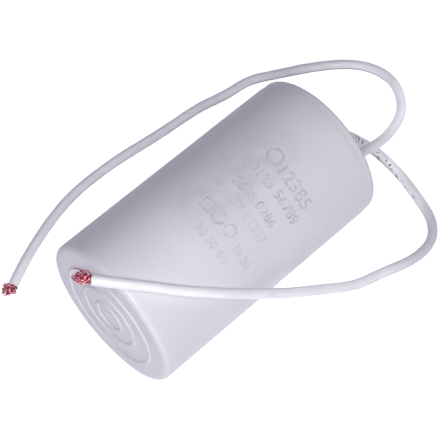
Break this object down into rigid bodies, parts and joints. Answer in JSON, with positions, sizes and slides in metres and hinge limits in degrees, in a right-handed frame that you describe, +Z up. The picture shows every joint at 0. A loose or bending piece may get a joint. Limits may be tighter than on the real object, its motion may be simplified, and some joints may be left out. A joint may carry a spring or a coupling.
{
  "type": "motor run capacitor",
  "caption": "Round plastic-cased motor run capacitor lying on its side, with a ring-ribbed base, a resin-filled open end and stripped insulated leads.",
  "frame": {"origin": "on the bench, under the middle of the case, leads left out", "axes": "+X along the case from the ribbed base to the open lead end, +Z up, +Y to the side that lead A lies on"},
  "size_m": [0.1203, 0.0777, 0.0437],
  "materials": {
    "moulded_case": "satin moulded polypropylene, pale lavender grey",
    "cast_resin": "cast potting resin, off-white, glossy",
    "film_roll": "wound metallised film",
    "core_tube": "extruded tube",
    "wrap_film": "clear film wrapped in many turns",
    "sprayed_zinc": "flame-sprayed zinc, matt and grainy",
    "lead_insulation": "extruded PVC insulation, satin white",
    "copper_strand": "bare copper strands",
    "tinned_conductor": "tinned copper conductor",
    "solder": "flowed solder, bright"
  },
  "bodies": {
    "root": {"case": "moulded_case", "potting": "cast_resin", "winding": "film_roll", "winding_core": "core_tube", "winding_wrap": "wrap_film", "end_spray_lead_side": "sprayed_zinc", "end_spray_base_side": "sprayed_zinc", "lead_a": "lead_insulation", "lead_b": "lead_insulation", "lead_a_strands": "copper_strand", "lead_b_strands": "copper_strand", "lead_a_tail": "tinned_conductor", "lead_b_tail": "tinned_conductor", "solder_a": "solder", "solder_b": "solder"}
  },
  "joints": []
}
